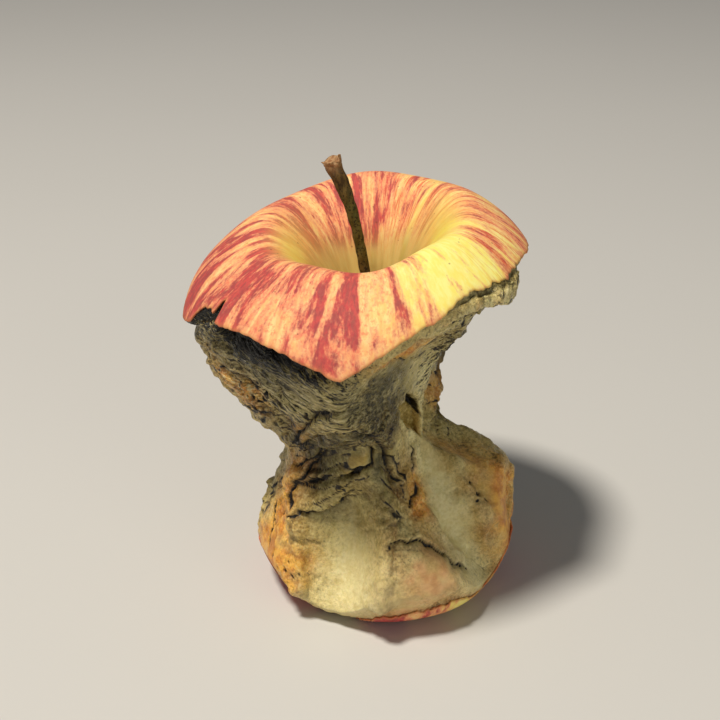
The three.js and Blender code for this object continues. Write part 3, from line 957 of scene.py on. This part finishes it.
def make_stalk():
    """The stalk: ridged bark with a swollen, torn tip."""
    path = curve_points([(x + LEAN * z, y, z) for x, y, z in STALK_PATH], STALK_RINGS)
    tangent = unit(np.gradient(path, axis=0))
    side = unit(np.cross(tangent, (0, 1, 0)))
    front = np.cross(tangent, side)
    turn = np.linspace(0, 2 * np.pi, STALK_SIDES, endpoint=False)[:, None]
    t = np.linspace(0, 1, STALK_RINGS)[None, :]
    swelling = np.clip((t - STALK_SWELL_FROM) / (1 - STALK_SWELL_FROM), 0, 1) ** 2
    foot = np.clip(1 - t / STALK_FOOT_LENGTH, 0, 1)
    radius = STALK_RADIUS + STALK_TIP_SWELL * swelling + STALK_FOOT_SWELL * foot
    out = np.cos(turn)[..., None] * side + np.sin(turn)[..., None] * front
    points = path + out * radius[..., None]
    points = points + out * bark_relief(points, turn, t)[..., None]
    tip = np.clip((t - 0.96) / 0.04, 0, 1) * 0.5 * waves(out * 1.2, 0.9, 105)
    points = points + tangent * tip[..., None]
    top = closing_rings(points[:, -1], tangent[-1], STALK_END, 106)
    bottom = np.repeat(points[:, 0].mean(0)[None, None], STALK_SIDES, 0)
    grid = np.concatenate([bottom, points, top], 1)
    end = np.ones((STALK_SIDES, top.shape[1]))
    along = np.concatenate([0 * end[:, :1], np.repeat(t, STALK_SIDES, 0), end], 1)
    return closed_surface("stalk_bark", grid[:, ::-1], dict(along=along[:, ::-1]))


def closing_rings(ring, direction, steps, seed):
    """Rings that close an end: each a smaller copy of the last ring, pushed along a direction."""
    middle = ring.mean(0)
    rings = []
    for scale, drop in steps:
        ragged = 0.22 * waves(ring + scale * 3, 0.7, seed) * min(scale * 2, 1)
        rings.append(middle + (ring - middle) * scale + direction * (drop + ragged)[:, None])
    return np.stack(rings, 1)


def make_calyx():
    """Dried sepals curled together in the basin under the core."""
    shape = (SEPALS, SEPAL_ROWS, SEPAL_COLUMNS)
    number, row, column = np.indices(shape).reshape(3, -1)
    turn = 2 * np.pi * number / SEPALS + 0.3
    t = row / (SEPAL_ROWS - 1)
    s = 2 * column / (SEPAL_COLUMNS - 1) - 1
    out = 1.0 + 2.4 * np.sin(t * 2.2) - 0.5 * s * s
    across = s * (1.15 * np.sin(np.pi * np.minimum(t * 0.9 + 0.12, 1)) ** 0.8 + 0.03)
    curl = 0.25 * np.sin(9 * t + number)
    x = out * np.cos(turn) - across * np.sin(turn)
    y = out * np.sin(turn) + across * np.cos(turn)
    z = SEPAL_TOP - SEPAL_DROP * t
    vertices = to_frame(np.stack([x + LEAN * z, y, z + 0.15 * curl * s], -1))
    corner = np.arange(len(vertices)).reshape(shape)[:, :-1, :-1].ravel()
    next_row = corner + SEPAL_COLUMNS
    faces = np.stack([corner, corner + 1, next_row + 1, next_row], -1)
    mesh = bpy.data.meshes.new("calyx")
    mesh.from_pydata(vertices.tolist(), [], faces.tolist())
    mesh.polygons.foreach_set("use_smooth", np.ones(len(mesh.polygons), bool))
    piece = in_scene("calyx", mesh)
    thick = piece.modifiers.new("thickness", "SOLIDIFY")
    thick.thickness = SEPAL_THICKNESS * MM
    return piece


# ---- materials ----
class Value:
    """A number that the shader works out, which takes the plain signs of arithmetic."""

    def __init__(self, surface, socket):
        self.surface = surface
        self.socket = socket

    def __add__(self, other):
        return self.surface.math("ADD", self, other)

    def __sub__(self, other):
        return self.surface.math("SUBTRACT", self, other)

    def __rsub__(self, other):
        return self.surface.math("SUBTRACT", other, self)

    def __mul__(self, other):
        return self.surface.math("MULTIPLY", self, other)

    def __abs__(self):
        return self.surface.math("ABSOLUTE", self, 0.0)

    def clamped(self):
        """The same number, kept from 0 to 1."""
        self.socket.node.use_clamp = True
        return self

    def step(self, low, high):
        """0 below low, 1 above high, smooth between. low may be the larger, which turns it round."""
        made = self.surface.node("ShaderNodeMapRange", interpolation_type="SMOOTHSTEP")
        turned = low > high
        self.surface.plug(self, made.inputs["Value"])
        made.inputs["From Min"].default_value = min(low, high)
        made.inputs["From Max"].default_value = max(low, high)
        made.inputs["To Min"].default_value = float(turned)
        made.inputs["To Max"].default_value = float(not turned)
        return Value(self.surface, made.outputs["Result"])


class Surface:
    """A Principled material and short calls for the nodes that feed it. Sizes are in millimetres."""

    def __init__(self, name, **settings):
        self.material = bpy.data.materials.new(name)
        self.material.use_nodes = True
        self.tree = self.material.node_tree
        self.shader = self.tree.nodes["Principled BSDF"]
        for label, value in settings.items():
            self.shader.inputs[label.replace("_", " ")].default_value = value
        self.place = self.node("ShaderNodeTexCoord").outputs["Object"]

    def node(self, kind, **settings):
        made = self.tree.nodes.new(kind)
        for label, value in settings.items():
            setattr(made, label, value)
        return made

    def plug(self, value, socket):
        if isinstance(value, Value):
            value = value.socket
        if isinstance(value, bpy.types.NodeSocket):
            self.tree.links.new(value, socket)
        else:
            socket.default_value = value

    def mask(self, label):
        """One of the numbers kept on the mesh."""
        return Value(self, self.node("ShaderNodeAttribute", attribute_name=label).outputs["Fac"])

    def vector(self, label):
        return self.node("ShaderNodeAttribute", attribute_name=label).outputs["Vector"]

    def math(self, operation, a, b):
        made = self.node("ShaderNodeMath", operation=operation)
        self.plug(a, made.inputs[0])
        self.plug(b, made.inputs[1])
        return Value(self, made.outputs[0])

    def noise_on(self, vector, scale, detail, roughness, distortion=0.0):
        made = self.node("ShaderNodeTexNoise")
        self.plug(vector, made.inputs["Vector"])
        made.inputs["Scale"].default_value = scale
        made.inputs["Detail"].default_value = detail
        made.inputs["Roughness"].default_value = roughness
        made.inputs["Distortion"].default_value = distortion
        return Value(self, made.outputs["Fac"])

    def noise(self, size, detail=3.0, roughness=0.55):
        """Noise from 0 to 1 with bumps of a size in millimetres."""
        return self.noise_on(self.place, 1 / (size * MM), detail, roughness)

    def streaks(self, vector, across, along, detail, roughness, distortion=0.0):
        """Noise on a vector, with its first two parts scaled by one number and its third by another."""
        scaled = self.node("ShaderNodeVectorMath", operation="MULTIPLY")
        self.plug(vector, scaled.inputs[0])
        scaled.inputs[1].default_value = (across, across, along)
        return self.noise_on(scaled.outputs[0], 1, detail, roughness, distortion)

    def dots(self, spacing):
        """How far the nearest of scattered dots is, and a number of its own for each dot."""
        made = self.node("ShaderNodeTexVoronoi")
        self.plug(self.place, made.inputs["Vector"])
        made.inputs["Scale"].default_value = 1 / (spacing * MM)
        split = self.node("ShaderNodeSeparateColor")
        self.plug(made.outputs["Color"], split.inputs[0])
        return Value(self, made.outputs["Distance"]), Value(self, split.outputs[0])

    def mix(self, share, first, second):
        """From the first colour to the second. A tuple is a colour as on a screen, from 0 to 255."""
        made = self.node("ShaderNodeMix", data_type="RGBA")
        self.plug(share, made.inputs["Factor"])
        self.plug(tint(*first) if isinstance(first, tuple) else first, made.inputs[6])
        self.plug(tint(*second) if isinstance(second, tuple) else second, made.inputs[7])
        return made.outputs[2]

    def finish(self, colour, roughness, relief, depth):
        """Plugs in colour, roughness and fine relief of a depth in millimetres."""
        bump = self.node("ShaderNodeBump")
        self.plug(relief, bump.inputs["Height"])
        bump.inputs["Distance"].default_value = depth * MM
        bump.inputs["Strength"].default_value = 1.0
        self.plug(colour, self.shader.inputs["Base Color"])
        self.plug(roughness, self.shader.inputs["Roughness"])
        self.plug(bump.outputs["Normal"], self.shader.inputs["Normal"])
        return self.material


def tint(*screen):
    """A colour from 0 to 255 as the shader wants it."""
    shares = [c / 255 for c in screen]
    return tuple(c / 12.92 if c <= 0.04045 else ((c + 0.055) / 1.055) ** 2.4 for c in shares) + (1.0,)


def flesh_colours(s, patchy, fine):
    """The flesh where it is fresh, in olive painted shade, pale and painted light, golden, rosy,
    stained and horny.
    """
    cream = s.mix(patchy.step(0.35, 0.68), (208, 188, 118), (232, 214, 146))
    tan = s.mix(fine.step(0.3, 0.7), (178, 152, 82), (210, 184, 112))
    colour = s.mix(s.noise(7).step(0.42, 0.64), cream, tan)
    # Darker olive as painted shade.
    olive_shade = s.mix(fine.step(0.3, 0.7), (102, 92, 42), (156, 142, 78))
    colour = s.mix(s.mask("olive_shade") * 0.85, colour, olive_shade)
    pale_and_painted_light = s.mix(fine.step(0.3, 0.7), (230, 216, 154), (248, 236, 182))
    colour = s.mix(s.mask("pale_and_painted_light") * 0.85, colour, pale_and_painted_light)
    gold = s.mix(patchy.step(0.35, 0.62), (218, 130, 40), (252, 190, 84))
    golden = (s.mask("ochre_and_glints") * (patchy + 0.5)).clamped()
    colour = s.mix(golden * (1.0 - s.mask("pale_and_painted_light") * 0.15), colour, gold)
    rosy = s.mix(patchy.step(0.35, 0.65), (214, 150, 98), (236, 180, 124))
    colour = s.mix(s.mask("pink") * 0.8, colour, rosy)
    stain = s.mix(fine.step(0.35, 0.7), (108, 66, 22), (170, 112, 44))
    colour = s.mix(s.mask("brown") * (patchy.step(0.3, 0.62) * 0.9), colour, stain)
    horn = s.mix(patchy.step(0.35, 0.65), (160, 132, 56), (200, 172, 92))
    return s.mix(s.mask("lining"), colour, horn)


def flesh_grain(s, colour, drawn):
    """Painted shade in what is sunk, painted shade and highlights along the fibres, and crumbs and
    flecks where the flesh is torn.
    """
    calm = 1.0 - s.mask("ochre_and_glints") * 0.65
    # Painted shade in the hollows.
    colour = s.mix(s.mask("painted_hollow_shade") * 0.5, colour, (104, 82, 40))
    # Along the grain drawn out by teeth, its grooves are painted dark as shade and its crests pale as
    # highlights.
    colour = s.mix(drawn.step(0.44, 0.3) * calm, colour, (46, 36, 16))
    colour = s.mix(drawn.step(0.56, 0.72) * 0.7, colour, (252, 234, 176))
    ragged = (s.mask("rough") * 0.6 - 0.1).clamped()
    crumbs = s.noise(0.6, 4, 0.65)
    colour = s.mix(crumbs.step(0.5, 0.36) * ragged, colour, (66, 52, 22))
    colour = s.mix(crumbs.step(0.52, 0.66) * ragged, colour, (250, 234, 170))
    flecks = s.noise(0.9, 5, 0.65).step(0.58, 0.66) * ragged * calm
    return s.mix(flecks * 0.9, colour, (84, 56, 22))


def painted_flesh_shade(s, colour, fine):
    """Painted shade: on wet patches, in cracks and pits, brown at their edges, and the black band under
    the cap.
    """
    # Painted shade on the wet patches, on the sunk side of cracks and under the ledge.
    painted_shade_share = (s.mask("painted_shade_and_wet") * (fine * 1.4 + 0.4)).clamped()
    colour = s.mix(painted_shade_share * 0.85, colour, (58, 52, 20))
    # Painted shade in cracks, pits and crevices: black in the middle, brown at the edges.
    shade_in_recesses = s.mask("recess_shade") + (s.noise(0.4, 3, 0.6) - 0.5) * 0.5
    colour = s.mix(shade_in_recesses.step(0.1, 0.45) * 0.6, colour, (74, 52, 22))
    colour = s.mix(shade_in_recesses.step(0.44, 0.62), colour, (22, 16, 8))
    specks = (s.noise_on(s.vector("left_lie"), 1 / 0.34, 3, 0.7) - 0.5) * 2.2
    # The black band of painted shade under the cap, broken into specks.
    band = s.mask("band") + specks * s.mask("band").step(0.04, 0.3)
    return s.mix(band.step(0.36, 0.54), colour, (14, 11, 6))


def flesh_material():
    s = Surface(
        "apple_flesh", Specular_IOR_Level=0.45,
        Subsurface_Weight=0.1, Subsurface_Scale=0.0015, Subsurface_Radius=(1.0, 0.6, 0.25),
    )
    patchy = s.noise(2.2, 4)
    fine = s.noise(0.7, 4)
    drawn = 0.5
    for side in DRAWN:
        grain = s.noise_on(s.vector(side + "_lie"), 1 / 0.6, 3, 0.6)
        drawn = (grain - 0.5) * (s.mask(side) * 2.8) + drawn
    colour = flesh_colours(s, patchy, fine)
    colour = flesh_grain(s, colour, drawn)
    colour = painted_flesh_shade(s, colour, fine)
    roughness = s.noise(3).step(0.4, 0.7) * 0.24 + 0.34 - s.mask("painted_shade_and_wet") * 0.14
    grain = s.noise(0.5, 4, 0.6) * 0.6 + s.noise(1.4) * 0.5 + drawn * 1.2
    return s.finish(colour, roughness, grain * (s.mask("rough") * 0.6 + 0.4), 0.5)


def streaked_skin(s, lie, wash):
    """Yellow to peach ground with rosy mottling, rosy and red streaks and thin lines."""
    blush = s.mask("blush")
    redness = blush * 0.8 + wash * 0.9
    shown = s.mask("hollow").step(0.9, 0.35) * (1.0 - s.mask("green") * 0.9)
    feather = s.streaks(lie, 30, 4.5, 3, 0.6, 0.3)
    flecks = s.streaks(lie, 60, 16, 3, 0.65)
    yellow = s.mix(feather.step(0.35, 0.65), (252, 232, 118), (253, 242, 148))
    peach = s.mix(feather.step(0.3, 0.7), (251, 184, 120), (253, 220, 152))
    colour = s.mix(redness.step(0.55, 1.0), yellow, peach)
    mottle = s.streaks(lie, 34, 10, 4, 0.7).step(0.5, 0.62) * redness.step(0.6, 1.0)
    colour = s.mix(mottle * 0.6 * shown, colour, (238, 120, 90))
    streak = s.streaks(lie, 8.5, 0.8, 3, 0.6, 0.5)
    streak = streak + (feather - 0.5) * 0.26 + (flecks - 0.5) * 0.14 + blush * 0.26
    rosy = s.mix(flecks.step(0.35, 0.65), (242, 142, 112), (226, 100, 94))
    colour = s.mix(streak.step(0.52, 0.7) * 0.65 * shown, colour, rosy)
    red = s.mix(feather.step(0.35, 0.65), (198, 62, 72), (148, 42, 64))
    colour = s.mix(streak.step(0.65, 0.78) * 0.82 * shown, colour, red)
    line = abs(s.streaks(lie, 26, 0.5, 2, 0.5, 0.15) - 0.52).step(0.03, 0.01)
    line = line * s.mask("lines") * shown * wash.step(0.38, 0.5)
    return s.mix(line * 0.75, colour, (218, 84, 56)), flecks


def skin_material():
    s = Surface(
        "apple_skin", Specular_IOR_Level=0.15,
        Subsurface_Weight=0.08, Subsurface_Scale=0.0015, Subsurface_Radius=(1.0, 0.5, 0.3),
    )
    lie = s.vector("lie")
    wash = s.streaks(lie, 4, 0.5, 2, 0.5)
    colour, flecks = streaked_skin(s, lie, wash)
    floor = s.mix(wash.step(0.35, 0.65), (168, 142, 74), (196, 170, 96))
    colour = s.mix(s.mask("hollow") * 0.85, colour, floor)
    colour = s.mix(s.mask("green") * 0.7, colour, (222, 200, 76))
    distance, chance = s.dots(2.1)
    dot = distance.step(0.12, 0.07) * chance.step(0.45, 0.5)
    colour = s.mix(dot * 0.5, colour, (128, 66, 36))
    colour = s.mix(s.mask("rim") * 0.6, colour, (214, 140, 84))
    relief = s.noise(1.6, 2) * 0.6 + s.noise(0.4, 2) * 0.2
    return s.finish(colour, flecks * 0.15 + 0.58, relief, 0.08)


def stalk_material():
    s = Surface("stalk_bark", Specular_IOR_Level=0.3)
    along = s.mask("along")
    grain = s.streaks(s.place, 1400, 260, 4, 0.65)
    spots = s.noise(0.5, 3, 0.6)
    colour = s.mix(grain.step(0.35, 0.65), (70, 50, 24), (118, 92, 48))
    green = along.step(0.45, 0.62) * along.step(0.9, 0.76)
    colour = s.mix(green * 0.5, colour, (96, 98, 40))
    colour = s.mix(spots.step(0.52, 0.6) * 0.8, colour, (34, 24, 12))
    rind = s.mix(spots.step(0.4, 0.6), (160, 110, 72), (196, 156, 112))
    colour = s.mix(along.step(0.9, 0.99) * 0.8, colour, rind)
    # Darker towards its foot, where it stands in the cavity: painted shade.
    colour = s.mix(along.step(0.34, 0.22) * 0.6, colour, (70, 50, 28))
    return s.finish(colour, 0.75, grain + spots, 0.12)


def calyx_material():
    s = Surface("dried_calyx", Specular_IOR_Level=0.2)
    grain = s.noise(0.6, 4, 0.6)
    colour = s.mix(grain.step(0.35, 0.65), (66, 46, 28), (116, 88, 58))
    return s.finish(colour, 0.85, grain, 0.1)


def floor_material():
    s = Surface("pale_floor", Specular_IOR_Level=0.2)
    colour = s.mix(s.noise(300, 2), (206, 204, 200), (212, 210, 206))
    return s.finish(colour, 0.8, s.noise(40, 2), 0.01)


# ---- the studio ----
def make_floor():
    half = FLOOR_HALF
    corners = [(-half, -half, 0), (half, -half, 0), (half, half, 0), (-half, half, 0)]
    mesh = bpy.data.meshes.new("floor")
    mesh.from_pydata(corners, [], [(0, 1, 2, 3)])
    floor = in_scene("floor", mesh)
    floor.data.materials.append(floor_material())


def look_along(piece, direction):
    piece.rotation_mode = "QUATERNION"
    piece.rotation_quaternion = direction.to_track_quat("-Z", "Y")


def make_light(name, towards, distance, size, power, colour):
    """A round light that shines along a direction at the middle of the core."""
    low, high = cad_bounds
    direction = Vector(towards).normalized()
    lamp = bpy.data.lights.new(name, "AREA")
    lamp.shape = "DISK"
    lamp.size = size
    lamp.energy = power
    lamp.color = colour
    light = in_scene(name, lamp)
    light.location = (low + high) / 2 - direction * distance
    look_along(light, direction)


def make_camera():
    target = Vector(to_frame(np.array(CAMERA_TARGET)).tolist())
    elevation = math.radians(CAMERA_ELEVATION)
    away = Vector((0, -math.cos(elevation), math.sin(elevation)))
    data = bpy.data.cameras.new("camera")
    data.sensor_width = SENSOR
    data.lens = SENSOR / 2 / math.tan(math.radians(CAMERA_FIELD / 2))
    data.shift_x, data.shift_y = CAMERA_SHIFT
    data.clip_start = NEAREST
    camera = in_scene("camera", data)
    camera.location = target + away * CAMERA_DISTANCE * MM
    look_along(camera, -away)
    bpy.context.scene.camera = camera


def make_world():
    world = bpy.data.worlds.new("studio")
    world.use_nodes = True
    background = world.node_tree.nodes["Background"]
    background.inputs["Color"].default_value = WORLD_COLOUR
    background.inputs["Strength"].default_value = WORLD_STRENGTH
    bpy.context.scene.world = world


# ---- putting it together ----
def frame_shift(theta, r, z, upper, lower):
    """From the apple's frame to the CAD frame: the core's box is the same in both."""
    on_cap = upper[:, None] * np.linspace(0.2, 1, 60)
    on_base = lower[:, None] + (FINE_STEPS - 1 - lower[:, None]) * np.linspace(0, 0.6, 30)
    place = np.concatenate([on_cap, on_base], 1)
    skin = in_space(sample(r, place), sample(z, place), theta[:, None]).reshape(-1, 3)
    low, high = (np.array(corner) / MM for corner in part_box("core"))
    shift = (low + high) / 2 - (skin.min(0) + skin.max(0)) / 2
    shift[2] = low[2] - FOOT_FLAT
    return shift


def to_frame(points):
    """From the apple's frame in millimetres to the CAD frame in metres."""
    return (points + SHIFT) * MM


def place_piece(piece, material, slot, *nodes):
    piece.data.materials.append(material)
    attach(piece, "root")
    if nodes:
        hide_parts(*nodes)


directions = np.arange(COLUMNS) / COLUMNS * 2 * np.pi
apple_r, apple_z = apple_surface(directions)
whole_apple = (directions, apple_r, apple_z)
cap_edge, base_edge = bite_edges(*whole_apple)
SHIFT = frame_shift(*whole_apple, cap_edge, base_edge)

make_world()
make_camera()
make_floor()
for light_name, settings in LIGHTS.items():
    make_light(light_name, *settings)

skin = skin_material()
place_piece(make_flesh(*whole_apple, cap_edge, base_edge), flesh_material(), "flesh", "core")
cap = make_skin("skin_cap", *whole_apple, 0, cap_edge, SKIN_ROWS, CAP_TEARS, CAP_SEED)
place_piece(cap, skin, "skin")
last = FINE_STEPS - 1
base = make_skin("skin_base", *whole_apple, last, base_edge, BASE_SKIN_ROWS, BASE_TEARS, BASE_SEED)
place_piece(base, skin, "skin")
place_piece(make_stalk(), stalk_material(), "stalk", "stalk")
place_piece(make_calyx(), calyx_material(), "stalk")

bpy.context.scene.view_settings.view_transform = "Standard"
